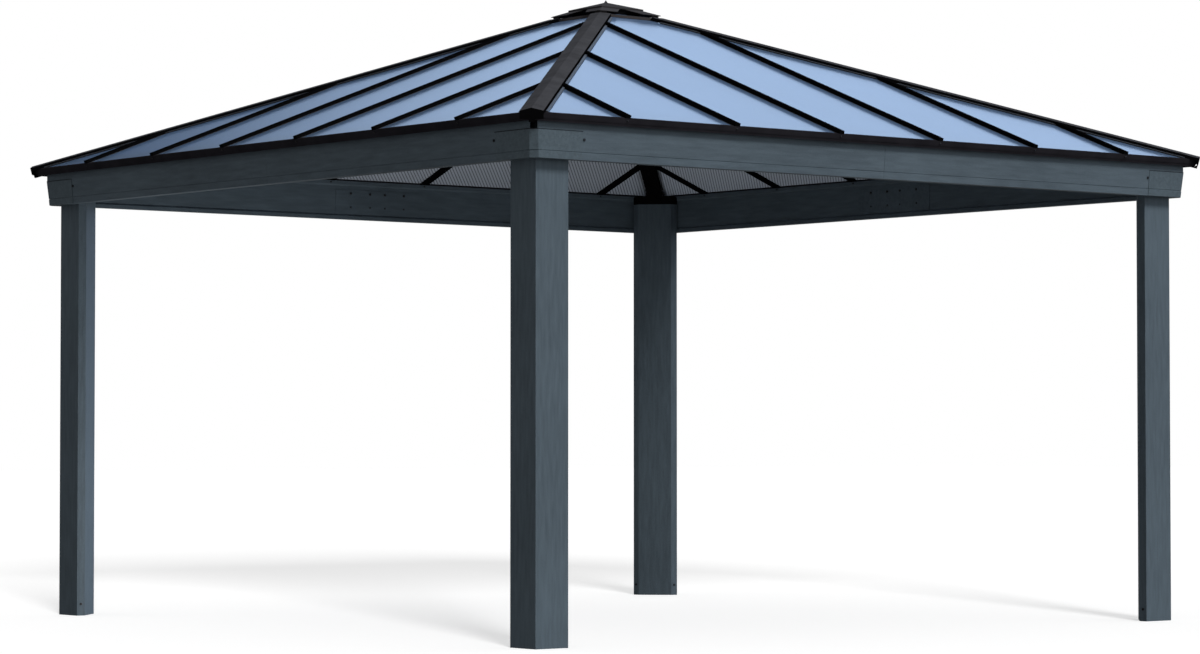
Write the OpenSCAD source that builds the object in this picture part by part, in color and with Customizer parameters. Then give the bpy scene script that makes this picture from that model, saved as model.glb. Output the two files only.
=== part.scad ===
// Square hardtop gazebo: four corner posts, a ring of hollow beams and a glazed hip roof
// with a raised vent at its peak. Millimetres, Z up, origin on the ground under the peak.

/* [Overall] */
// Side of the roof, from drip edge to drip edge
roof_side = 4250; // [3600:10:5200]
// Height of the beams' underside above the ground
clear_h = 2125; // [1800:5:2600]
// Slope of each roof face, in degrees
roof_pitch = 20.9; // [15:0.1:28]

/* [Posts] */
// Width of a post across its two outer faces
post_w = 180; // [140:1:220]
// Legs of the big chamfer on the post's inner corner
post_chamfer = 135; // [100:1:136]
// Sheet thickness of a post
post_wall = 2.5; // [1.5:0.1:4]
// Distance from the drip edge in to the posts' outer faces
post_setback = 107; // [100:1:135]
// Height of the posts' tops above the beams' underside
post_rise = 163; // [120:1:170]

/* [Post shoes] */
// Height of the steel shoe inside the foot of a post
shoe_h = 90; // [60:1:140]
// Plate thickness of a shoe
shoe_t = 5; // [3:0.5:8]
// Radius of the ground anchor holes in a shoe
anchor_r = 7; // [4:0.5:9]
// Distance between the two anchor holes of a shoe
anchor_spacing = 70; // [50:1:80]

/* [Beams] */
// Height of the drip edge above the beams' underside
drip_rise = 190; // [180:1:230]
// Thickness of a beam at its underside
beam_base_w = 52; // [46:0.5:58]
// Thickness of a beam at its top
beam_top_w = 63; // [57:0.5:70]
// Sheet thickness of a beam
beam_wall = 2; // [1.2:0.1:3]
// Height of the beam's lower band, under the groove
band_h = 30; // [20:1:45]
// How far the lower band leans out
band_lean = 2.5; // [0:0.1:4]
// Height of the groove above the lower band
groove_h = 3; // [2:0.5:6]
// Depth of that groove
groove_d = 2; // [1:0.5:4]
// Depth of the flat panel between the strips of a beam's inner face
web_recess = 9; // [4:0.5:12]
// Height of the strips along the inner face's top and bottom
strip_h = 18; // [12:1:30]
// Width of the joint at the middle of each side
joint_gap = 1; // [0.5:0.1:3]
// Length of the splice plate behind that joint
splice_l = 560; // [300:10:700]
// Thickness of the splice plate
splice_t = 2.5; // [1.5:0.1:4]

/* [Corner covers] */
// Length of each arm of a corner cover, from the beams' outer corner
cover_arm = 266; // [150:1:320]
// Sheet thickness of a corner cover
cover_t = 2; // [1:0.1:3]
// Gap between a corner cover and the beams
cover_gap = 0.3; // [0.1:0.1:1]
// Height of a corner cover
cover_h = 126; // [90:1:130]
// Legs of the chamfer on a corner cover's upright edge
cover_chamfer = 28; // [15:1:40]

/* [Roof edge] */
// Depth of the roof edge trim, square to the roof
eave_depth = 38; // [32:1:60]
// Depth of the trim's upper lip
eave_lip_depth = 24; // [15:1:28]
// Step between the upper lip and the trim's lower part
eave_step = 2.5; // [1:0.5:4]
// Wall thickness of the trim
eave_wall = 2.5; // [1.5:0.5:4]
// Width of the lip that laps over the glazing
eave_lap = 14; // [8:1:25]

/* [Glazing] */
// Number of glazing bars on each roof face
bars = 6; // [4:2:6]
// Distance between the middles of two glazing bars
bar_pitch = 635; // [560:5:660]
// Thickness of the twin-wall sheet
panel_t = 6; // [4:0.5:10]
// Clearance around the edges of a sheet
panel_gap = 2; // [1:0.5:4]
// Width of a glazing bar's lower flange
bar_base_w = 52; // [30:1:60]
// Depth of a glazing bar's lower flange
bar_base_h = 10; // [6:0.5:16]
// Thickness of a glazing bar's web, between two sheets
bar_web_w = 8; // [4:0.5:12]
// Width of a glazing bar's cap
bar_cap_w = 30; // [24:1:44]
// Height of a glazing bar's cap above the sheet
bar_cap_h = 17.5; // [10:0.5:22]

/* [Hips] */
// Width of a hip rafter
hip_w = 86; // [60:1:100]
// Depth of a hip rafter along its middle
hip_depth = 50; // [40:1:60]
// Sheet thickness of a hip rafter
hip_wall = 3; // [2:0.5:5]
// Width of a hip cap
hip_cap_w = 104; // [96:1:130]
// Height of a hip cap above the glazing
hip_cap_rise = 19; // [12:0.5:24]
// Sheet thickness of a hip cap
hip_cap_t = 2; // [1:0.5:3]
// Thickness of the end piece at the foot of a hip cap
hip_end_t = 4; // [3:0.5:8]
// Height of that end piece along its middle, without the keel
hip_end_h = 50; // [40:1:60]
// Width of the keel that runs from the end piece back to the beams
hip_keel_w = 26; // [20:1:40]
// Depth of the keel below the end piece
hip_keel_h = 12; // [9:0.5:26]

/* [Vent] */
// Half the inner side of the crown ring that the hip rafters meet
crown_in = 120; // [100:1:125]
// Half the outer side of the crown ring
crown_out = 175; // [165:1:180]
// Half the side of the vent's skirt, at its foot
skirt_foot = 202; // [195:1:215]
// Half the side of the skirt, at its top
skirt_top = 192; // [186:1:194]
// Height of the skirt
skirt_h = 16; // [10:1:20]
// Sheet thickness of the skirt, the brackets and the cover
vent_t = 2.5; // [1.5:0.5:4]
// Height of the brackets' wings above the drip plane, square to the roof
wing_rise = 26; // [20:0.5:32]
// Half the width of a bracket's two wings together
wing_w = 82; // [60:1:90]
// Width of a bracket's legs
wing_leg = 45; // [20:1:60]
// Half the side of the raised cover
vent_cover_in = 137; // [130:1:150]
// Height of the cover's turned-down edge
vent_edge = 7; // [5:0.5:14]
// Rise of the cover from its edge to its peak
vent_rise = 40; // [30:1:55]
// Radius of the bolt through the cover's peak
bolt_r = 4; // [3:0.5:6]
// Height of the bolt above the cover
bolt_h = 10; // [8:1:20]
// Length of the bolt below the cover
bolt_grip = 24; // [16:1:40]

/* [Hidden] */

// Colours
STEEL = [0.27, 0.32, 0.34];
COVER = [0.31, 0.36, 0.38];
BLACK = [0.07, 0.07, 0.08];
TRIM = [0.13, 0.13, 0.14];
CAP = [0.25, 0.25, 0.25];
SHEET = [0.55, 0.68, 0.85];

// A small play between pieces that are slid together
play = 0.3;
// Larger than the whole object: the size of cutting tools
far = 2 * roof_side;
// Overlength of a piece that a cut then trims
spare = 200;
// Half the roof, and half the distance across the posts' outer faces
half = roof_side / 2;
post_out = half - post_setback;
// Height of the drip edge
drip_z = clear_h + drip_rise;
post_top = clear_h + post_rise;
// Slope of the hips, and of a roof face across a hip
hip_slope = atan(tan(roof_pitch) / sqrt(2));
across = asin(sin(roof_pitch) / sqrt(2));
// Levels square to the roof, from the drip plane: glazing top and underside, rafter tops
sheet_top = -eave_wall - play;
sheet_low = sheet_top - panel_t;
base_low = sheet_low - bar_base_h;
bar_top = sheet_top + bar_cap_h;
cap_top = sheet_top + hip_cap_rise;
// Groove and lower band of the beams, up from their underside
groove_low = clear_h + band_h;
groove_high = groove_low + groove_h;
cover_top = clear_h + cover_h;
// Distance up the roof from the drip edge to the beams' inner faces
seat_s = (post_setback + base_low * sin(roof_pitch)) / cos(roof_pitch);
// Widths along an eave that a width across a hip takes
hip_side = hip_w / sqrt(2);
hip_cap_side = hip_cap_w / sqrt(2);

// Height of the drip plane at a distance from the middle
function plane_z(u) = drip_z + (half - u) * tan(roof_pitch);
// A point of a front section: up the roof from the drip edge, and square to the roof
function on_roof(s, n) = [
    s * cos(roof_pitch) - n * sin(roof_pitch) - half,
    drip_z + s * sin(roof_pitch) + n * cos(roof_pitch)
];
// Distance up the slope of a place at a distance from the middle
function up_slope(u) = (half - u) / cos(roof_pitch);
// Height of a level square to the roof, at a distance from the middle
function level_z(u, n) = plane_z(u) + n / cos(roof_pitch);
// The five corners of the front left post, drawn in from its faces
function pentagon(inset) = let (
    near = -post_out + inset,
    rim = -post_out + post_w - inset,
    cut = -post_out + post_w - post_chamfer - inset * (sqrt(2) - 1)
) [[near, near], [rim, near], [rim, cut], [cut, rim], [near, rim]];
// Outer side of a beam from its underside up, moved out by a distance: [out, height]
function beam_side(off, top) = [
    [post_out + beam_base_w + off, clear_h],
    [post_out + beam_base_w + band_lean + off, groove_low],
    [post_out + beam_base_w + band_lean - groove_d + off, groove_low + groove_d / 2],
    [post_out + beam_base_w + band_lean - groove_d + off, groove_high],
    [post_out + beam_base_w + band_lean + off, groove_high + groove_d],
    [post_out + beam_top_w + off, cover_top],
    [post_out + beam_top_w + off, top]
];
// Distance along the diagonal to the chamfer of a corner, for a place on the beam's side
function chamfer_at(u, off) =
    (2 * (u + cover_gap + cover_t) - cover_chamfer) / sqrt(2) - cover_gap - cover_t + off;

// Side k of the roof: front, right, back, left
module side(k) rotate([0, 0, 90 * k]) children();
// The roof face of side k: X along the eave, Y up the slope, Z square to the roof
module face(k) side(k) translate([0, -half, drip_z]) rotate([roof_pitch, 0, 0]) children();
// The hip of corner c: X up the hip, Z square to it, from the drip edge's corner
module hip(c) side(c) rotate([0, 0, 225]) translate([half * sqrt(2), 0, drip_z])
    rotate([0, hip_slope, 0]) rotate([0, 0, 180]) children();
// A front section of [y, z] points, run along the side between two places
module run(points, x0, x1) translate([x0, 0, 0]) rotate([90, 0, 90])
    linear_extrude(x1 - x0) polygon(points);
// All that lies between the two hips of the front side, in from them by a distance
module between_hips(inset) linear_extrude(far)
    polygon([[0, -inset], [-far, -inset - far], [far, -inset - far]]);
// What a front section of the beams' outer side bounds
module inside_side(off, low, high) run(concat([[far, low]],
    [for (q = beam_side(off, high)) [-q[0], max(q[1], low)]], [[far, high]]), -far, far);
// What the chamfer of the front left corner bounds
module inside_chamfer(off, low, high) rotate([0, 0, -45]) run(concat([[far, low]],
    [for (q = beam_side(0, high)) [-chamfer_at(q[0], off), max(q[1], low)]], [[far, high]]),
    -far, far);
// The corner that both sides and the chamfer bound
module inside_corner(off, low, high) intersection() {
    inside_side(off, low, high);
    mirror([1, -1, 0]) inside_side(off, low, high);
    inside_chamfer(off, low, high);
}

// ---- posts ----
module post(c) color(STEEL) side(c) difference() {
    linear_extrude(post_top) polygon(pentagon(0));
    translate([0, 0, -1]) linear_extrude(post_top + 2) polygon(pentagon(post_wall));
}

module post_shoes() color(BLACK) for (c = [0:3]) side(c) difference() {
    linear_extrude(shoe_h) polygon(pentagon(post_wall + play));
    translate([0, 0, shoe_t]) linear_extrude(shoe_h) polygon(pentagon(post_wall + play + shoe_t));
    for (end = [-1, 1])
        translate([-post_out + post_w / 2 - post_wall + end * anchor_spacing / 2,
                   -post_out + post_w / 4, -1]) cylinder(r = anchor_r, h = shoe_t + 2, $fn = 48);
}

// Underside of a hip rafter, as a level square to the hip
hip_low = sheet_low / cos(across) - hip_depth;

module post_heads() color(BLACK) for (c = [0:3]) difference() {
    side(c) translate([0, 0, post_top]) linear_extrude(spare) polygon(pentagon(play));
    hip(c) translate([-far, -far, hip_low]) cube(2 * far);
}

// ---- beams ----
module beam(k, end) color(STEEL) side(k) {
    top_in = level_z(post_out, base_low);
    top_out = level_z(post_out + beam_top_w, base_low);
    hollow_in = post_out + web_recess + beam_wall;
    hollow_low = post_out + beam_base_w + band_lean - groove_d - beam_wall;
    hollow_out = post_out + beam_top_w - beam_wall;
    outer = concat(
        [for (q = beam_side(0, top_out)) [-q[0], q[1]]],
        [[-post_out, top_in], [-post_out, top_in - strip_h],
         [-post_out - web_recess, top_in - strip_h - web_recess],
         [-post_out - web_recess, clear_h + strip_h + web_recess],
         [-post_out, clear_h + strip_h], [-post_out, clear_h]]);
    hollow = [
        [-hollow_low, clear_h + beam_wall],
        [-hollow_low, groove_high + 2 * groove_d],
        [-hollow_out, cover_top + beam_wall],
        [-hollow_out, level_z(hollow_out, base_low - beam_wall)],
        [-hollow_in, level_z(hollow_in, base_low - beam_wall)],
        [-hollow_in, clear_h + beam_wall]];
    x0 = end > 0 ? joint_gap / 2 : -far / 2;
    x1 = end > 0 ? far / 2 : -joint_gap / 2;
    intersection() {
        difference() {
            run(outer, x0, x1);
            run(hollow, x0 - 1, x1 + 1);
        }
        between_hips(0);
        mirror([end > 0 ? 1 : 0, 0, 0]) inside_chamfer(0, 0, far);
    }
}

module beam_splices() color(STEEL) for (k = [0:3]) side(k)
    translate([-splice_l / 2, -post_out - web_recess, clear_h + strip_h + web_recess])
        cube([splice_l, splice_t, drip_rise - 2 * strip_h - 2 * web_recess]);

// ---- corner covers ----
module corner_cover(c) color(COVER) side(c) {
    outer_u = post_out + beam_base_w + cover_gap + cover_t;
    difference() {
        intersection() {
            inside_corner(cover_gap + cover_t, clear_h - cover_t, cover_top);
            translate([-far, -far, 0]) cube([far - outer_u + cover_arm, far - outer_u + cover_arm, far]);
        }
        inside_corner(cover_gap, clear_h, far);
        translate([-post_out - play, -post_out - play, 0]) cube(far);
    }
}

// ---- roof edge ----
module eave_trim(k) color(TRIM) {
    back_s = (post_setback - beam_top_w - play - eave_depth * sin(roof_pitch)) / cos(roof_pitch);
    leg_s = eave_step + eave_wall;
    section = [
        on_roof(0, 0), on_roof(eave_lap, 0), on_roof(eave_lap, -eave_wall),
        on_roof(leg_s, -eave_wall), on_roof(leg_s, sheet_low),
        on_roof(seat_s, sheet_low), on_roof(seat_s, base_low), on_roof(leg_s, base_low),
        on_roof(leg_s, eave_wall - eave_depth), on_roof(back_s, eave_wall - eave_depth),
        on_roof(back_s, -eave_depth), on_roof(eave_step, -eave_depth),
        on_roof(eave_step, -eave_lip_depth), on_roof(0, -eave_lip_depth)];
    difference() {
        side(k) intersection() {
            run(section, -far / 2, far / 2);
            between_hips(0);
        }
        for (c = [k, k + 1]) hip(c) translate([hip_end_t - far, -far / 2, -far / 2]) cube(far);
    }
}

// ---- hips ----
module hip_rafter(c) color(BLACK) {
    top = sheet_low / cos(across);
    edge = top - hip_w / 2 * tan(across);
    difference() {
        hip(c) rotate([90, 0, 90]) linear_extrude(half * sqrt(2) / cos(hip_slope)) difference() {
            polygon([[0, top], [hip_w / 2, edge], [hip_w / 2, hip_low],
                     [-hip_w / 2, hip_low], [-hip_w / 2, edge]]);
            polygon([[0, top - hip_wall], [hip_w / 2 - hip_wall, edge - hip_wall],
                     [hip_w / 2 - hip_wall, hip_low + hip_wall],
                     [-hip_w / 2 + hip_wall, hip_low + hip_wall],
                     [-hip_w / 2 + hip_wall, edge - hip_wall]]);
        }
        side(c) translate([-far, -far, 0]) cube([2 * far, far - post_out + play, far]);
        side(c) translate([-far, -far, 0]) cube([far - post_out + play, 2 * far, far]);
        translate([-crown_out - play, -crown_out - play, 0])
            cube([2 * (crown_out + play), 2 * (crown_out + play), far]);
    }
}

// The wing of a hip cap or bracket on the front face: a strip beside the left hip
module wing(wide, s0, s1, low, high) difference() {
    intersection() {
        face(0) translate([-half - spare, s0, low]) cube([half + spare, s1 - s0, high - low]);
        between_hips(0);
    }
    between_hips(wide);
}

// What lies on the front left hip's front side, and its mirror image across the hip
module both_sides() {
    children();
    mirror([1, -1, 0]) children();
}

module hip_cap(c) color(CAP) difference() {
    side(c) both_sides() {
        wing(hip_cap_side, -spare, up_slope(skirt_foot + play), cap_top - hip_cap_t, cap_top);
        difference() {
            wing(hip_cap_side, -spare, up_slope(skirt_foot + play), 0, cap_top - hip_cap_t);
            wing(hip_cap_side - hip_cap_t * sqrt(2), -spare, half, -1, cap_top);
        }
    }
    hip(c) translate([hip_end_t - far, -far / 2, -far / 2]) cube(far);
}

module hip_end_pieces() color(BLACK) for (c = [0:3]) {
    peak = cap_top / cos(across);
    edge = peak - hip_cap_w / 2 * tan(across);
    foot = peak - hip_end_h;
    keel_top = -eave_depth / cos(across) - play;
    keel_edge = keel_top - hip_keel_w / 2 * tan(across);
    hip(c) rotate([90, 0, 90]) linear_extrude(hip_end_t) polygon([
        [0, peak], [hip_cap_w / 2, edge], [hip_cap_w / 2, foot],
        [hip_keel_w / 2, foot], [hip_keel_w / 2, foot - hip_keel_h],
        [-hip_keel_w / 2, foot - hip_keel_h], [-hip_keel_w / 2, foot],
        [-hip_cap_w / 2, foot], [-hip_cap_w / 2, edge]]);
    difference() {
        hip(c) rotate([90, 0, 90]) linear_extrude(2 * post_setback) polygon([
            [0, keel_top], [hip_keel_w / 2, keel_edge], [hip_keel_w / 2, foot - hip_keel_h],
            [-hip_keel_w / 2, foot - hip_keel_h], [-hip_keel_w / 2, keel_edge]]);
        side(c) inside_corner(0, clear_h, far);
    }
    difference() {
        hip(c) translate([0, -hip_keel_w / 2, foot - hip_keel_h])
            cube([eave_depth, hip_keel_w, hip_keel_h]);
        for (k = [c, c + 3]) face(k) translate([-far, eave_step - play, -far]) cube(2 * far);
    }
}

// ---- glazing ----
// Middle of a glazing bar, counted from the left
function bar_x(i) = (i - (bars - 1) / 2) * bar_pitch;
// A strip of the front face between two places along it, two up the slope and two levels
module strip(x0, x1, s0, s1, low, high) face(0)
    translate([x0, s0, low]) cube([x1 - x0, s1 - s0, high - low]);
// A strip of a width about the middle of a glazing bar
module bar_strip(i, wide, s0, low, high)
    strip(bar_x(i) - wide / 2, bar_x(i) + wide / 2, s0, up_slope(abs(bar_x(i))), low, high);

module glazing_bars(k) color(BLACK) side(k) for (i = [0:bars - 1]) {
    intersection() {
        union() {
            bar_strip(i, bar_base_w, seat_s, base_low, sheet_low);
            bar_strip(i, bar_web_w, seat_s, sheet_low - 1, sheet_top + 1);
        }
        between_hips(hip_side + play);
    }
    intersection() {
        union() {
            bar_strip(i, bar_cap_w, 0, 0, bar_top);
            bar_strip(i, bar_cap_w, eave_lap + play, -eave_wall, 1);
            bar_strip(i, bar_web_w, seat_s, sheet_low - 1, 1);
        }
        between_hips(hip_cap_side + play);
    }
}

module roof_sheets(k) color(SHEET) side(k) for (i = [0:bars]) {
    edge = bar_web_w / 2 + panel_gap;
    intersection() {
        strip(i == 0 ? -half : bar_x(i - 1) + edge, i == bars ? half : bar_x(i) - edge,
              eave_step + eave_wall + panel_gap, up_slope(crown_in + 2 * panel_gap + vent_t),
              sheet_low, sheet_top);
        between_hips(panel_gap * sqrt(2));
    }
}

// ---- vent ----
// A ring of four mitred lengths of one front section
module ring(section) for (k = [0:3]) side(k) intersection() {
    run(section, -half, half);
    between_hips(0);
}

wing_low = wing_rise - vent_t;
cover_low = level_z(vent_cover_in - vent_t, wing_rise);
skirt_z = level_z(skirt_foot - vent_t, sheet_top + play);
skirt_high = skirt_z + skirt_h;
vent_peak = cover_low + vent_edge + vent_rise;
cover_fall = vent_rise / vent_cover_in;

module crown_ring() color(BLACK) {
    wall = crown_in + vent_t;
    low = level_z(crown_out, sheet_low) - hip_depth;
    ring([
        [-crown_out, low], [-crown_out, level_z(crown_out, sheet_low)],
        [-wall, level_z(wall, sheet_low)], [-wall, cover_low + vent_edge / 2],
        [-crown_in, cover_low + vent_edge / 2], [-crown_in, low]]);
}

module vent_skirt() color(CAP) ring([
    [-skirt_foot, skirt_z], [-skirt_top, skirt_high],
    [vent_t - skirt_top, skirt_high], [vent_t - skirt_foot, skirt_z]]);

module vent_brackets() color(CAP) for (c = [0:3]) side(c) {
    both_sides() {
        wing(wing_w * sqrt(2), up_slope(skirt_top), up_slope(crown_in + 2 * vent_t),
             wing_low, wing_rise);
        intersection() {
            run([[-skirt_top, skirt_high], [-skirt_top, level_z(skirt_top, wing_low + 1)],
                 [vent_t - skirt_top, level_z(skirt_top, wing_low + 1)],
                 [vent_t - skirt_top, skirt_high]], -half, wing_leg - skirt_top);
            between_hips(0);
        }
    }
}

module vent_cover() color(CAP) difference() {
    ring([
        [-vent_cover_in, cover_low], [-vent_cover_in, cover_low + vent_edge], [0, vent_peak],
        [0, vent_peak - vent_t], [vent_t - vent_cover_in, cover_low + vent_edge - vent_t],
        [vent_t - vent_cover_in, cover_low]]);
    translate([0, 0, cover_low]) cylinder(r = bolt_r + play, h = spare, $fn = 48);
}

module vent_bolt() color(BLACK) {
    seat = vent_peak - (bolt_r + play) * cover_fall;
    translate([0, 0, seat - bolt_grip]) cylinder(r = bolt_r, h = bolt_grip + bolt_h, $fn = 48);
    translate([0, 0, seat]) cylinder(r = 2 * bolt_r, h = bolt_r, $fn = 6);
}

post(0);  // post_front_left
post(1);  // post_front_right
post(2);  // post_back_right
post(3);  // post_back_left
post_shoes();
post_heads();
beam(0, -1);  // beam_front_left
beam(0, 1);  // beam_front_right
beam(1, -1);  // beam_right_front
beam(1, 1);  // beam_right_back
beam(2, -1);  // beam_back_right
beam(2, 1);  // beam_back_left
beam(3, -1);  // beam_left_back
beam(3, 1);  // beam_left_front
beam_splices();
corner_cover(0);  // corner_cover_front_left
corner_cover(1);  // corner_cover_front_right
corner_cover(2);  // corner_cover_back_right
corner_cover(3);  // corner_cover_back_left
eave_trim(0);  // eave_trim_front
eave_trim(1);  // eave_trim_right
eave_trim(2);  // eave_trim_back
eave_trim(3);  // eave_trim_left
hip_rafter(0);  // hip_rafter_front_left
hip_rafter(1);  // hip_rafter_front_right
hip_rafter(2);  // hip_rafter_back_right
hip_rafter(3);  // hip_rafter_back_left
hip_cap(0);  // hip_cap_front_left
hip_cap(1);  // hip_cap_front_right
hip_cap(2);  // hip_cap_back_right
hip_cap(3);  // hip_cap_back_left
hip_end_pieces();
glazing_bars(0);  // glazing_bars_front
glazing_bars(1);  // glazing_bars_right
glazing_bars(2);  // glazing_bars_back
glazing_bars(3);  // glazing_bars_left
roof_sheets(0);  // roof_sheets_front
roof_sheets(1);  // roof_sheets_right
roof_sheets(2);  // roof_sheets_back
roof_sheets(3);  // roof_sheets_left
crown_ring();
vent_skirt();
vent_brackets();
vent_cover();
vent_bolt();
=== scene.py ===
# %% [markdown]
# # A square garden gazebo with a glazed hip roof
# The construction (posts, beams, bars, sheets, caps) arrives as a fixed frame of CAD parts.
# This lesson adds what a maker sees up close: screws, bolts, gaskets, the vent's mesh and the
# finish of every surface. Nothing here moves or resizes a CAD part.

# %% Load the frame and keep its box
import math
import bpy
from mathutils import Matrix, Vector


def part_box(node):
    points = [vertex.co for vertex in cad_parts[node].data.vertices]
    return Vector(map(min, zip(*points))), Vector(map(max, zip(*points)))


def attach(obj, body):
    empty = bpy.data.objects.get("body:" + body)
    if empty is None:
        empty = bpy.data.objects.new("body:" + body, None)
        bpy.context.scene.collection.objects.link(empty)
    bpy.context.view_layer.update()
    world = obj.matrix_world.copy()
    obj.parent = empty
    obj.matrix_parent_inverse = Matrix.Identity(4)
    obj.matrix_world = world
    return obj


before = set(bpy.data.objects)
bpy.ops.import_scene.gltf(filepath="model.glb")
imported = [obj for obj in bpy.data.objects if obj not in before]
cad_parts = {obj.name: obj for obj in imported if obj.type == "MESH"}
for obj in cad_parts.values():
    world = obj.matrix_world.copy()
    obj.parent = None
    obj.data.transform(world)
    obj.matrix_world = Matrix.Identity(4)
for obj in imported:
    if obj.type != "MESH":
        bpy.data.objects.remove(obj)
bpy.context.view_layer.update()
nodes = sorted(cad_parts)

# %% [markdown]
# ## The measures that the added pieces share
# Every place comes from the CAD parts' own boxes and from a few named sizes of the design: the
# roof's slope, the rise of its drip edge over the beams, and the levels of the glazing. Levels
# with a minus sign lie under the drip plane, which is the roof's slope through its drip edge.

# %% Measures in metres
half_roof = -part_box("eave_trim_front")[0][1]
beam_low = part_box("beam_front_left")[0][2]
post_out = -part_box("post_front_left")[0][0]
post_w = 0.180
narrow_face_w = 0.045
drip_rise = 0.190
drip_z = beam_low + drip_rise
pitch = math.radians(20.9)
hip_slope = math.atan(math.tan(pitch) / math.sqrt(2))
across = math.asin(math.sin(pitch) / math.sqrt(2))
sheet_t = 0.006
bar_base_h = 0.010
sheet_top = -0.0028
sheet_low = sheet_top - sheet_t
base_low = sheet_low - bar_base_h
bars = 6
bar_pitch = 0.635
bar_places = [(i - (bars - 1) / 2) * bar_pitch for i in range(bars)]
bar_cap_w = 0.030
hip_cap_w = 0.104
hip_w = 0.086
crown_out = 0.175
skirt_out = 0.205
eave_lap = 0.014
web_recess = 0.009
splice_t = 0.0025
# Height above which the corner covers carry a painted shadow line along their top edge.
cover_shadow_line_z = beam_low + 0.1225


def up_slope(out):
    """Distance up the slope from the drip edge to a place this far out from the middle."""
    return (half_roof - out) / math.cos(pitch)


def up_hip(out):
    """Distance up a hip from the roof's corner to a place this far out from the middle."""
    return (half_roof - out) * math.sqrt(2) / math.cos(hip_slope)


def plane_z(out):
    """Height of the drip plane this far out from the middle."""
    return drip_z + (half_roof - out) * math.tan(pitch)


print("half roof", round(half_roof, 4), "beam underside", round(beam_low, 4))

# %% [markdown]
# ## Frames to work in
# The roof has four like faces and four like hips. A matrix for each lets a piece be modelled in
# plain local terms (along the eave, up the slope, square to the sheet) and then be put in place.


# %% Frames of the sides, faces and hips
def side_frame(k):
    """Side k turned from the front: 0 front, 1 right, 2 back, 3 left."""
    return Matrix.Rotation(math.radians(90 * k), 4, "Z")


def face_frame(k):
    """X along the eave, Y up the slope, Z square to roof face k, from its drip edge."""
    return (side_frame(k) @ Matrix.Translation((0, -half_roof, drip_z))
            @ Matrix.Rotation(pitch, 4, "X"))


def hip_frame(c):
    """X up hip c, Z square to it, from the roof's corner."""
    return (side_frame(c) @ Matrix.Rotation(math.radians(225), 4, "Z")
            @ Matrix.Translation((half_roof * math.sqrt(2), 0, drip_z))
            @ Matrix.Rotation(hip_slope, 4, "Y") @ Matrix.Rotation(math.pi, 4, "Z"))


def facing(frame_matrix, place, direction):
    """A frame whose Z points in a direction of another frame, for what is screwed on there."""
    turn = Vector(direction).to_track_quat("Z", "Y").to_matrix().to_4x4()
    return frame_matrix @ Matrix.Translation(place) @ turn


# %% [markdown]
# ## The camera
# Eye height is under one metre, a little below the middle of the posts, and the lens is long, so
# the posts stay upright and the near corner of the roof leans out only slightly.

# %% Camera
camera_data = bpy.data.cameras.new("camera")
camera = bpy.data.objects.new("camera", camera_data)
bpy.context.collection.objects.link(camera)
camera.location = (-11.565, -14.338, 0.901)
heading, rise = math.radians(38.797), math.radians(1.810)
ahead = Vector((math.sin(heading) * math.cos(rise), math.cos(heading) * math.cos(rise),
                math.sin(rise)))
camera.rotation_euler = ahead.to_track_quat("-Z", "Y").to_euler()
camera_data.sensor_width = 36
camera_data.lens = 108.02
camera_data.clip_end = 300
bpy.context.scene.camera = camera

# %% [markdown]
# ## Tools for modelling
# Each new piece starts as a primitive, is shaped in edit mode and then is put in place with its
# transform applied, so that its place is in its mesh. Everything is deselected first, because an
# operator acts on all that is selected.


# %% Modelling helpers
def deselect():
    """Leave nothing selected, in object mode."""
    if bpy.context.object and bpy.context.object.mode != "OBJECT":
        bpy.ops.object.mode_set(mode="OBJECT")
    bpy.ops.object.select_all(action="DESELECT")


def settle(piece, matrix=Matrix()):
    """Move a piece by a matrix and apply its place, turn and size to its mesh."""
    deselect()
    piece.matrix_world = matrix @ piece.matrix_world
    piece.select_set(True)
    bpy.context.view_layer.objects.active = piece
    bpy.ops.object.transform_apply(location=True, rotation=True, scale=True)
    return piece


def choose_faces(piece, wanted):
    """Select, in edit mode, the faces for which a test of centre and normal is true."""
    bpy.ops.mesh.select_mode(type="FACE")
    bpy.ops.mesh.select_all(action="DESELECT")
    bpy.ops.object.mode_set(mode="OBJECT")
    for polygon in piece.data.polygons:
        polygon.select = wanted(polygon.center, polygon.normal)
    bpy.ops.object.mode_set(mode="EDIT")


def strip(name, low, high, soften, matrix):
    """A length of strip between two corners of a frame, with its edges softened."""
    deselect()
    low, high = Vector(low), Vector(high)
    bpy.ops.mesh.primitive_cube_add(size=1, location=(low + high) / 2, scale=high - low)
    piece = bpy.context.object
    piece.name = name
    bpy.ops.object.transform_apply(location=True, rotation=True, scale=True)
    bpy.ops.object.mode_set(mode="EDIT")
    bpy.ops.mesh.select_all(action="SELECT")
    bpy.ops.mesh.bevel(offset=soften, segments=2, affect="EDGES")
    bpy.ops.object.mode_set(mode="OBJECT")
    return settle(piece, matrix)


def joined(name, pieces):
    """One piece made of several, riding on the frame's one body."""
    deselect()
    for piece in pieces:
        piece.select_set(True)
    bpy.context.view_layer.objects.active = pieces[0]
    if len(pieces) > 1:
        bpy.ops.object.join()
    whole = bpy.context.object
    whole.name = name
    settle(whole)
    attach(whole, "root")
    print(name, len(pieces), "lengths or copies,", len(whole.data.polygons), "faces")
    return whole


def copies(name, model, matrices):
    """Copies of a small model at many frames, each with its own mesh, joined as one piece."""
    made = []
    for matrix in matrices:
        copy = model.copy()
        copy.data = model.data.copy()
        bpy.context.collection.objects.link(copy)
        copy.matrix_world = matrix
        made.append(settle(copy))
    return joined(name, made)


def drop(model):
    """Remove a model once its copies are made."""
    bpy.data.objects.remove(model, do_unlink=True)


# %% [markdown]
# ## Two kinds of fastener
# The sheet metal is held by small pan-head screws with a round drive, and the rafters by hex
# bolts on washers. Both are repeated often, so each is a few dozen faces: a cylinder whose top is
# inset and pushed in or out.


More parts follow.
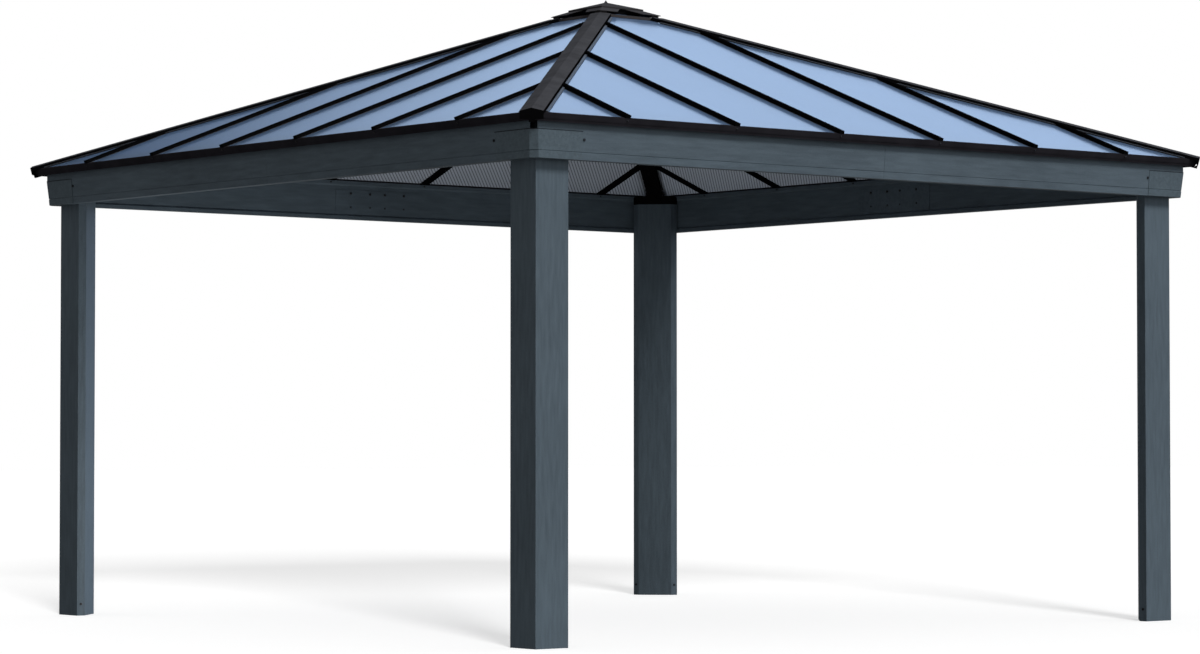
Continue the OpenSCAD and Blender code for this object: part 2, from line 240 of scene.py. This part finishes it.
# %% Screw and bolt models
def screw_model(radius, height):
    """A pan-head screw standing on the origin, its head up Z."""
    deselect()
    bpy.ops.mesh.primitive_cylinder_add(vertices=14, radius=radius, depth=height,
                                        location=(0, 0, height / 2))
    piece = bpy.context.object
    bpy.ops.object.transform_apply(location=True)
    bpy.ops.object.mode_set(mode="EDIT")
    choose_faces(piece, lambda centre, normal: normal.z > 0.9)
    bpy.ops.mesh.inset(thickness=radius * 0.25)
    bpy.ops.transform.translate(value=(0, 0, height * 0.35))
    bpy.ops.mesh.inset(thickness=radius * 0.30)
    bpy.ops.mesh.extrude_region_move(TRANSFORM_OT_translate={"value": (0, 0, -height * 0.6)})
    bpy.ops.object.mode_set(mode="OBJECT")
    return piece


def bolt_model(radius, height):
    """A hex bolt head on its washer, standing on the origin."""
    deselect()
    washer = height * 0.3
    bpy.ops.mesh.primitive_cylinder_add(vertices=18, radius=radius * 1.7, depth=washer,
                                        location=(0, 0, washer / 2))
    ring = bpy.context.object
    bpy.ops.mesh.primitive_cylinder_add(vertices=6, radius=radius, depth=height,
                                        location=(0, 0, washer + height / 2))
    head = bpy.context.object
    bpy.ops.object.transform_apply(location=True)
    bpy.ops.object.mode_set(mode="EDIT")
    choose_faces(head, lambda centre, normal: normal.z > 0.9)
    bpy.ops.mesh.inset(thickness=radius * 0.18)
    bpy.ops.transform.translate(value=(0, 0, height * 0.12))
    bpy.ops.object.mode_set(mode="OBJECT")
    ring.select_set(True)
    head.select_set(True)
    bpy.context.view_layer.objects.active = ring
    bpy.ops.object.join()
    bpy.ops.object.transform_apply(location=True, rotation=True, scale=True)
    return bpy.context.object


# %% [markdown]
# ## Screws of the roof edge and the beams
# A screw through the trim's upper lip clamps the foot of each glazing bar. Inside, another goes
# through the beam's top strip under each bar. The splice behind each middle seam has two rows, and
# one screw stands beside each end of a corner cover.

# %% Screws
small_screw = screw_model(radius=0.0045, height=0.0028)
trim_screw_level = -0.012
trim_places = [facing(face_frame(k), (x, 0, trim_screw_level), (0, -1, 0))
               for k in range(4) for x in bar_places]
trim_screws = copies("roof_edge_screws", small_screw, trim_places)

half_strip = 0.009
strip_z = plane_z(post_out) + base_low / math.cos(pitch) - half_strip
inner_places = [facing(side_frame(k), (x, -post_out, strip_z), (0, 1, 0))
                for k in range(4) for x in bar_places]
inner_screws = copies("beam_strip_screws", small_screw, inner_places)

splice_face = -post_out - web_recess + splice_t
splice_row = (-0.18, -0.05, 0.05, 0.18)
upper_row_z, lower_row_z = beam_low + 0.143, beam_low + 0.068
splice_screw = screw_model(radius=0.0065, height=0.0036)
upper_places = [facing(side_frame(k), (x, splice_face, upper_row_z), (0, 1, 0))
                for k in range(4) for x in splice_row]
upper_screws = copies("splice_screws_upper", splice_screw, upper_places)
lower_places = [facing(side_frame(k), (x, splice_face, lower_row_z), (0, 1, 0))
                for k in range(4) for x in splice_row]
lower_screws = copies("splice_screws_lower", small_screw, lower_places)

cover_x = 1.797
cover_face_out = 0.0594
cover_y = -post_out - cover_face_out
cover_z = beam_low + 0.088
cover_places = [facing(side_frame(k), (end * cover_x, cover_y, cover_z), (0, -1, 0.1))
                for k in range(4) for end in (-1, 1)]
cover_screws = copies("cover_screws", splice_screw, cover_places)

# %% [markdown]
# ## Anchor screws low on the posts
# The shoe inside each foot is fixed through the post's two narrow inner faces, about 60 mm above
# the ground.

# %% Anchor screws
post_inner = post_out - post_w
anchor_z = 0.060
face_middle = -post_out + narrow_face_w / 2
anchor_places = [facing(side_frame(k), place, direction)
                 for k in range(4)
                 for place, direction in (((face_middle, -post_inner, anchor_z), (0, 1, 0)),
                                          ((-post_inner, face_middle, anchor_z), (1, 0, 0)))]
anchor_screws = copies("anchor_screws", splice_screw, anchor_places)

# %% [markdown]
# ## Bolts of the hip rafters
# From below, a pair of bolts shows through each side of a hip rafter where it sits on the post
# head and where it meets the crown ring.

# %% Hip rafter bolts
hip_bolt_level = -0.040
bolt_spacing = 0.07
end_distance = 0.05
hip_length = up_hip(crown_out)
hip_foot = up_hip(post_out - post_w / 2)
hip_places = [facing(hip_frame(c), (s, end * hip_w / 2, hip_bolt_level), (0, end, 0))
              for c in range(4) for end in (-1, 1)
              for s in (hip_foot, hip_foot + bolt_spacing,
                        hip_length - end_distance - bolt_spacing, hip_length - end_distance)]
rafter_bolt = bolt_model(radius=0.0075, height=0.006)
hip_bolts = copies("hip_rafter_bolts", rafter_bolt, hip_places)

# %% [markdown]
# ## Gaskets of the glazing
# A rubber lip seals each side of a bar's cap to the sheet, and a wider one lies along both edges
# of every hip cap. They are what keeps rain out, and they give the bars their thin dark outline.

# %% Bar gaskets
lip_w, lip_h, lip_soften = 0.004, 0.0022, 0.0008
bar_lips = []
for k in range(4):
    for x in bar_places:
        for end in (-1, 1):
            inner = x + end * bar_cap_w / 2
            outer = inner + end * lip_w
            top = up_slope(max(abs(inner), abs(outer)) + hip_cap_w / math.sqrt(2))
            bar_lips.append(strip("lip", (min(inner, outer), eave_lap, sheet_top),
                                  (max(inner, outer), top, sheet_top + lip_h),
                                  lip_soften, face_frame(k)))
bar_gaskets = joined("bar_gaskets", bar_lips)

# %% Hip gaskets
hip_lip_w, hip_lip_h, hip_lip_soften = 0.012, 0.007, 0.0012
hip_lip_start = 0.075
hip_top = up_hip(skirt_out)
hip_lips = []
for c in range(4):
    for end in (-1, 1):
        reach = (hip_cap_w + hip_lip_w) / 2
        level = sheet_top / math.cos(across) - reach * math.tan(across)
        lean = hip_frame(c) @ Matrix.Translation((0, end * reach, level)) @ Matrix.Rotation(
            -end * across, 4, "X")
        hip_lips.append(strip("lip", (hip_lip_start, -hip_lip_w / 2, 0),
                              (hip_top, hip_lip_w / 2, hip_lip_h), hip_lip_soften, lean))
hip_gaskets = joined("hip_gaskets", hip_lips)

# %% [markdown]
# ## The insect mesh of the vent
# Air leaves between the crown ring and the raised cover, through a woven mesh. A plane is cut into
# small squares and the Wireframe modifier turns their edges into wires.

# %% Vent mesh
mesh_out = 0.129
mesh_rise, mesh_h = 0.004, 0.030
mesh_low = plane_z(mesh_out) + mesh_rise
mesh_high = mesh_low + mesh_h
mesh_cell = 0.006
mesh_wire = 0.0012


def mesh_side(k):
    """One side of the mesh ring, as wires."""
    deselect()
    width, height = 2 * mesh_out, mesh_high - mesh_low
    bpy.ops.mesh.primitive_grid_add(x_subdivisions=round(width / mesh_cell),
                                    y_subdivisions=round(height / mesh_cell), size=1)
    piece = bpy.context.object
    piece.scale = (width, height, 1)
    bpy.ops.object.transform_apply(scale=True)
    wires = piece.modifiers.new("wires", "WIREFRAME")
    wires.thickness = mesh_wire
    wires.use_even_offset = False
    bpy.ops.object.modifier_apply(modifier=wires.name)
    upright = Matrix.Translation((0, -mesh_out, (mesh_low + mesh_high) / 2)) @ Matrix.Rotation(
        math.pi / 2, 4, "X")
    return settle(piece, side_frame(k) @ upright)


vent_mesh = joined("vent_mesh", [mesh_side(k) for k in range(4)])
for model in (small_screw, splice_screw, rafter_bolt):
    drop(model)

# %% [markdown]
# ## Writing a finish as a formula
# A finish is a small program of nodes. This class wraps a node's output so that plain arithmetic
# adds the Math nodes. The graph's one method `add` makes any other node from its settings and
# values, and a finish is a graph around one Principled shader.


# %% Shader tools
class Wire:
    """An output socket that arithmetic can be done with."""

    def __init__(self, graph, socket):
        self.graph, self.socket = graph, socket

    def maths(self, operation, *values):
        return self.graph.add("ShaderNodeMath", {"operation": operation}, dict(enumerate(values)))

    def __add__(self, other): return self.maths("ADD", self, other)
    def __radd__(self, other): return self.maths("ADD", other, self)
    def __sub__(self, other): return self.maths("SUBTRACT", self, other)
    def __rsub__(self, other): return self.maths("SUBTRACT", other, self)
    def __mul__(self, other): return self.maths("MULTIPLY", self, other)
    def __rmul__(self, other): return self.maths("MULTIPLY", other, self)
    def __pow__(self, other): return self.maths("POWER", self, other)
    def over(self, other): return self.maths("GREATER_THAN", self, other)
    def either(self, other): return self.maths("MAXIMUM", self, other)
    def sine(self): return self.maths("SINE", self)
    def size(self): return self.maths("ABSOLUTE", self)


class Graph:
    """A tree of nodes that is being wired up."""

    def __init__(self, tree):
        self.tree = tree

    def add(self, kind, settings, values, output=0):
        """Add a node: its settings are set first, then its sockets are set or linked."""
        node = self.tree.nodes.new(kind)
        for name, value in settings.items():
            setattr(node, name, value)
        for key, value in values.items():
            if isinstance(value, Wire):
                self.tree.links.new(value.socket, node.inputs[key])
            else:
                node.inputs[key].default_value = value
        return Wire(self, node.outputs[output])

    def axes(self, vector):
        """The X, Y and Z of a vector."""
        node = self.tree.nodes.new("ShaderNodeSeparateXYZ")
        self.tree.links.new(vector.socket, node.inputs[0])
        return [Wire(self, output) for output in node.outputs]

    def between(self, value, low, high):
        """A value's place from low to high, as 0 to 1."""
        return self.add("ShaderNodeMapRange", {},
                        {"Value": value, "From Min": low, "From Max": high})

    def blend(self, factor, first, second):
        """Mix two colours."""
        return self.add("ShaderNodeMix", {"data_type": "RGBA"},
                        {"Factor": factor, 6: first, 7: second}, 2)


class Finish(Graph):
    """A material that is being put together around one Principled shader."""

    def __init__(self, name, roughness, metallic=0.0, shine=0.5):
        self.material = bpy.data.materials.new(name)
        self.material.use_nodes = True
        super().__init__(self.material.node_tree)
        self.shader = self.tree.nodes["Principled BSDF"]
        self.shader.inputs["Roughness"].default_value = roughness
        self.shader.inputs["Metallic"].default_value = metallic
        self.shader.inputs["Specular IOR Level"].default_value = shine
        place = self.tree.nodes.new("ShaderNodeTexCoord")
        self.place = Wire(self, place.outputs["Object"])
        self.normal = Wire(self, place.outputs["Normal"])

    def feed(self, name, wire):
        """Link a wire to one of the Principled shader's sockets."""
        self.tree.links.new(wire.socket, self.shader.inputs[name])

    def noise(self, scale, detail=2.0, stretch=(1, 1, 1)):
        """Noise over the object's own coordinates, drawn out along axes whose stretch is small."""
        spot = self.add("ShaderNodeMapping", {}, {"Vector": self.place, "Scale": stretch})
        return self.add("ShaderNodeTexNoise", {},
                        {"Vector": spot, "Scale": scale, "Detail": detail})

    def relief(self, height, depth, strength=1.0):
        """Bump the surface by a height from 0 to 1 that stands for a depth in metres."""
        bump = self.add("ShaderNodeBump", {}, {"Strength": strength, "Distance": depth,
                                               "Height": height})
        self.feed("Normal", bump)


def srgb(red, green, blue):
    """A colour given as a screen shows it, from 0 to 255, as linear light."""
    def linear(value):
        value /= 255
        return value / 12.92 if value <= 0.04045 else ((value + 0.055) / 1.055) ** 2.4
    return (linear(red), linear(green), linear(blue), 1.0)


def toned(colour, share):
    """A colour made darker or lighter by a share."""
    return tuple(min(1.0, c * share) for c in colour[:3]) + (1.0,)


# %% [markdown]
# ## Slate powder coat
# Powder coat is sprayed as dust and baked, and it dries with the pebbled skin of an orange. Here
# its skin is fine noise in the bump, its shade drifts a little over each part, and a second,
# stretched noise gives the faint grain that runs along the rolled sheet.


# %% Powder coat finish
def powder_coat(name, colour, stretch, roughness=0.62, painted_shadow_above=None):
    """Fine-textured slate coat; stretch is small along the part's length.

    Above a given height the coat is painted dark: a thin painted shadow line along the top edge of
    a corner cover.
    """
    finish = Finish(name, roughness, shine=0.10)
    drift = finish.noise(scale=1.3, detail=3.0)
    grain = finish.noise(scale=60.0, detail=3.0, stretch=stretch)
    speckle = finish.noise(scale=330.0, detail=2.0)
    shade = finish.between(drift * 0.30 + grain * 0.35 + speckle * 0.35, 0.38, 0.62)
    coat = finish.blend(shade, toned(colour, 0.80), toned(colour, 1.22))
    if painted_shadow_above:
        # Painted shadow: above the given height, along the cover's top edge, the coat turns dark.
        coat = finish.blend(finish.axes(finish.place)[2].over(painted_shadow_above), coat, painted_edge_shadow)
    finish.feed("Base Color", coat)
    finish.feed("Roughness", roughness - 0.08 + grain * 0.16)
    finish.relief(speckle * 0.7 + grain * 0.3, depth=0.0009, strength=0.55)
    return finish.material


slate = srgb(75, 86, 94)
cover_slate = srgb(73, 84, 91)
# Colour of the painted shadow line along the corner covers' top edge.
painted_edge_shadow = srgb(24, 28, 32)
along_x, along_y, along_z, all_ways = (0.12, 1, 1), (1, 0.12, 1), (1, 1, 0.12), (1, 1, 1)
post_coat = powder_coat("slate_coat_upright", slate, along_z)
beam_coats = {"x": powder_coat("slate_coat_along_x", slate, along_x),
              "y": powder_coat("slate_coat_along_y", slate, along_y)}
cover_coat = powder_coat("slate_coat_covers", cover_slate, all_ways, 0.58, cover_shadow_line_z)

# %% [markdown]
# ## Satin coats for the roof's trim, caps and bars
# The aluminium of the roof has a smoother satin coat, a little cloudy where rain has dried on it.
# The steep folded edges of caps, bars and the vent's plates get a colour of painted shade, near
# black on caps and bars, since they see less of the sky.


# %% Satin finishes
def satin_coat(name, colour, roughness, mottle, fold_shade_colour=None):
    """Smooth coat whose tone varies by a share; the last argument is a colour of painted shade for
    its steep folded edges.
    """
    finish = Finish(name, roughness, shine=0.0)
    cloud = finish.noise(scale=9.0, detail=4.0)
    skin = finish.noise(scale=420.0, detail=2.0)
    tone = finish.between(cloud * 0.6 + skin * 0.4, 0.35, 0.65)
    coat = finish.blend(tone, toned(colour, 1 - mottle), toned(colour, 1 + mottle))
    if fold_shade_colour:
        # Painted shade: steep faces take the shade colour, level faces keep the coat.
        level_face = finish.axes(finish.normal)[2].size().over(0.6)
        coat = finish.blend(level_face, fold_shade_colour, coat)
    finish.feed("Base Color", coat)
    finish.feed("Roughness", roughness - 0.06 + cloud * 0.12)
    finish.relief(skin, depth=0.0004, strength=0.4)
    return finish.material


# Colours of painted shade for steep folded edges: a near black for caps and bars, a dark grey for
# the vent.
painted_fold_shade, soot, dark_bar = srgb(9, 9, 10), srgb(11, 11, 12), srgb(6, 6, 7)
charcoal, cap_grey = srgb(35, 34, 38), srgb(60, 61, 65)
vent_grey, vent_fold_shade = srgb(60, 60, 63), srgb(52, 50, 51)
trim_coat = satin_coat("satin_trim", charcoal, roughness=0.6, mottle=0.25)
cap_coat = satin_coat("satin_cap", cap_grey, roughness=0.6, mottle=0.22, fold_shade_colour=painted_fold_shade)
bar_coat = satin_coat("satin_bar", dark_bar, roughness=0.6, mottle=0.20, fold_shade_colour=painted_fold_shade)
black_coat = satin_coat("satin_black", soot, roughness=0.5, mottle=0.25)
vent_coat = satin_coat("satin_vent", vent_grey, roughness=0.6, mottle=0.22, fold_shade_colour=vent_fold_shade)

# %% [markdown]
# ## Twin-wall glazing
# The sheets are two thin skins of polycarbonate joined by walls a few millimetres apart, which
# show as fine lines that run up the slope. The upper skin is smooth, and its clouded blues are a
# painted reflection of the sky.
# The underside is embossed with small diamonds to spread the light, and looks grey from below.


# %% Glazing finish
flute_pitch, diamond_size = 0.012, 0.022
# The two blues are a painted reflection of the sky on the sheets' upper skin.
painted_sky_deep, painted_sky_pale, wall_line = srgb(98, 122, 154), srgb(112, 138, 172), srgb(80, 102, 134)
emboss_dark, emboss_light = srgb(50, 54, 60), srgb(198, 204, 212)


def twin_wall(name, axis):
    """Glazing whose inner walls run up the slope; axis is the one that crosses them."""
    finish = Finish(name, roughness=0.5, shine=0.5)
    x, y = finish.axes(finish.place)[:2]
    across_flutes = (x, y)[axis]
    upward = finish.axes(finish.normal)[2].over(0.0)
    flute = (across_flutes * (2 * math.pi / flute_pitch)).sine() * 0.5 + 0.5
    turn = math.pi / diamond_size
    diamond = ((x + y) * turn).sine().size() * ((x - y) * turn).sine().size()
    cloud = finish.noise(scale=1.1, detail=3.0)
    # Painted reflection: the upper skin's blues, clouded by noise, stand for the mirrored sky.
    painted_sky_reflection = finish.blend(cloud, painted_sky_deep, painted_sky_pale)
    top = finish.blend(flute ** 6.0 * 0.25, painted_sky_reflection, wall_line)
    under = finish.blend(diamond * 1.8, emboss_dark, emboss_light)
    coloured = finish.blend(upward, under, top)
    finish.feed("Base Color", coloured)
    finish.feed("Roughness", 0.5 - upward * 0.34)
    finish.relief(flute * upward * 0.1 + (1 - upward) * diamond, depth=0.0012, strength=0.30)
    glow = finish.add("ShaderNodeBsdfTranslucent", {}, {"Color": coloured})
    shared = finish.add("ShaderNodeMixShader", {}, {
        "Fac": 0.45, 1: Wire(finish, finish.shader.outputs[0]), 2: glow})
    output = finish.tree.nodes["Material Output"]
    finish.tree.links.new(shared.socket, output.inputs["Surface"])
    return finish.material


glazing = {"x": twin_wall("twin_wall_x", 0), "y": twin_wall("twin_wall_y", 1)}

# %% [markdown]
# ## Rubber and fasteners
# The gaskets are matt rubber with a trace of dust. The screws are steel with a black oxide that
# has worn a little brighter in patches.


# %% Rubber and screw finishes
def rubber(name):
    """Matt black rubber with a dusty bloom."""
    finish = Finish(name, roughness=0.75)
    bloom = finish.noise(scale=25.0, detail=4.0)
    finish.feed("Base Color", finish.blend(bloom, srgb(12, 12, 13), srgb(34, 34, 35)))
    finish.feed("Roughness", 0.65 + bloom * 0.2)
    finish.relief(finish.noise(scale=700.0), depth=0.0003, strength=0.3)
    return finish.material


def black_oxide(name):
    """Blackened steel, slightly metallic, unevenly worn."""
    finish = Finish(name, roughness=0.4, metallic=0.6)
    wear = finish.noise(scale=180.0, detail=3.0)
    finish.feed("Base Color", finish.blend(wear ** 3.0, srgb(16, 16, 18), srgb(72, 72, 76)))
    finish.feed("Roughness", 0.32 + wear * 0.25)
    finish.relief(wear, depth=0.0002, strength=0.3)
    return finish.material


gasket_rubber = rubber("gasket_rubber")
screw_steel = black_oxide("black_oxide_steel")

# %% [markdown]
# ## Dressing the parts
# Each CAD part gets the finish of the real one by its name. Beams and sheets on the front and back
# run along X, and those on the other two sides along Y, so their grain follows them.


# %% Finishes of the CAD parts
def run_axis(name):
    """The axis along which a part of the front, right, back or left side runs."""
    side = name.split("_")[1] if name.startswith("beam") else name.rsplit("_", 1)[1]
    return "x" if side in ("front", "back") else "y"


def finish_of(name):
    """The finish of a CAD part."""
    if name.startswith("post_") and name not in ("post_heads", "post_shoes"):
        return post_coat
    if name == "beam_splices":
        return beam_coats["x"]
    if name.startswith("beam_"):
        return beam_coats[run_axis(name)]
    if name.startswith("corner_cover"):
        return cover_coat
    if name.startswith("eave_trim"):
        return trim_coat
    if name.startswith("hip_cap"):
        return cap_coat
    if name.startswith("glazing_bars"):
        return bar_coat
    if name.startswith("roof_sheets"):
        return glazing[run_axis(name)]
    if name in ("vent_skirt", "vent_brackets", "vent_cover"):
        return vent_coat
    if name == "vent_bolt":
        return screw_steel
    return black_coat


def dress(piece, finish):
    """Give a piece one finish in place of what it had."""
    piece.data.materials.clear()
    piece.data.materials.append(finish)


for name in nodes:
    dress(bpy.data.objects[name], finish_of(name))
for piece in (trim_screws, inner_screws, upper_screws, lower_screws, cover_screws, anchor_screws,
              hip_bolts, vent_mesh):
    dress(piece, screw_steel)
for piece in (bar_gaskets, hip_gaskets):
    dress(piece, gasket_rubber)

# %% [markdown]
# ## The floor
# The floor looks white, but it throws little light back at the object: Light Path tells a ray that
# comes from the camera from one that carries light between surfaces.

# %% Floor
floor_tone, seen_floor_tone = (0.34, 0.34, 0.34, 1), (0.62, 0.62, 0.62, 1)
white = (1, 1, 1, 1)
floor_glow = 0.54
deselect()
bpy.ops.mesh.primitive_plane_add(size=160, location=(0, 0, 0))
floor = bpy.context.object
floor.name = "studio_floor"
floor_finish = Finish("studio_floor", roughness=0.9, shine=0.0)
floor_path = floor_finish.tree.nodes.new("ShaderNodeLightPath")
seen = Wire(floor_finish, floor_path.outputs["Is Camera Ray"])
floor_finish.feed("Base Color", floor_finish.blend(seen, floor_tone, seen_floor_tone))
floor_finish.shader.inputs["Emission Color"].default_value = white
floor_finish.feed("Emission Strength", seen * floor_glow)
floor.data.materials.append(floor_finish.material)

# %% [markdown]
# ## The sky
# The sky is white to the camera and weaker as a light. Smooth surfaces mirror another sky, which
# runs from a dim blue to a bright one: the measure is how far a direction points up and to the
# right, the sum of its Z and its X.

# %% Sky
sky_light = 0.42
dim_from, bright_from = 0.73, 0.89
dim_blue, bright_blue = (0.06, 0.07, 0.09, 1), (1.45, 1.95, 2.75, 1)
world = bpy.data.worlds.new("sky")
bpy.context.scene.world = world
world.use_nodes = True
sky = Graph(world.node_tree)
path = sky.tree.nodes.new("ShaderNodeLightPath")
camera_ray, mirrored_ray, passing_ray = [
    Wire(sky, path.outputs[kind])
    for kind in ("Is Camera Ray", "Is Glossy Ray", "Is Transmission Ray")]
full_strength = camera_ray.either(mirrored_ray.either(passing_ray))
strength = sky.add("ShaderNodeMapRange", {}, {"Value": full_strength, "To Min": sky_light})
coordinates = sky.tree.nodes.new("ShaderNodeTexCoord")
rightward, _, upward = sky.axes(Wire(sky, coordinates.outputs["Generated"]))
mirrored_sky = sky.blend(sky.between(rightward + upward, dim_from, bright_from),
                         dim_blue, bright_blue)
colour = sky.blend(mirrored_ray, white, mirrored_sky)
background = sky.tree.nodes["Background"]
sky.tree.links.new(strength.socket, background.inputs["Strength"])
sky.tree.links.new(colour.socket, background.inputs["Color"])

# %% [markdown]
# ## Suns and a fill lamp
# A soft high sun stands in front of the object, so that the roof's edge casts a narrow shade on
# the beams, and a weak low one softens that shade. A lamp under the roof stands for the light that
# the floor throws back. The floor has a low sun of its own on the left, which draws long faint
# shadows; light linking keeps the other lamps off it, and its own sun off the object.


# %% Lamps
def lamp_object(name, kind, energy, place, aim):
    """A lamp at a place whose light goes from there towards another."""
    data = bpy.data.lights.new(name, kind)
    data.energy = energy
    lamp = bpy.data.objects.new(name, data)
    bpy.context.collection.objects.link(lamp)
    lamp.location = place
    lamp.rotation_euler = (Vector(place) - Vector(aim)).to_track_quat("Z", "Y").to_euler()
    return lamp


def sun(name, energy, turn, height, spread):
    """A sun in front of the object, turned to its right, at a height; angles in degrees."""
    turn, height = math.radians(turn), math.radians(height)
    place = Vector((math.sin(turn) * math.cos(height), -math.cos(turn) * math.cos(height),
                    math.sin(height))) * 30
    lamp = lamp_object(name, "SUN", energy, place, aim=(0, 0, 0))
    lamp.data.angle = math.radians(spread)
    return lamp


def light_only(lamp, name, state):
    """Let a lamp light the floor only, or everything but the floor."""
    receivers = bpy.data.collections.new(name)
    receivers.objects.link(floor)
    receivers.collection_objects[0].light_linking.link_state = state
    lamp.light_linking.receiver_collection = receivers


key = sun("key_sun", energy=2.45, turn=12, height=44, spread=18)
front = sun("front_sun", energy=0.38, turn=8, height=9, spread=20)
fill = lamp_object("inner_fill", "AREA", energy=46, place=(-1.15, 0.25, 0.12),
                   aim=(-1.95, 2.0, 0.7))
fill.data.size = 1.0
fill.visible_camera = False
for lamp in (key, front, fill):
    light_only(lamp, lamp.name + "_receivers", "EXCLUDE")
shadow = sun("floor_sun", energy=4.2, turn=-27, height=17, spread=11)
light_only(shadow, "floor_sun_receivers", "INCLUDE")
bpy.context.scene.view_settings.view_transform = "Standard"
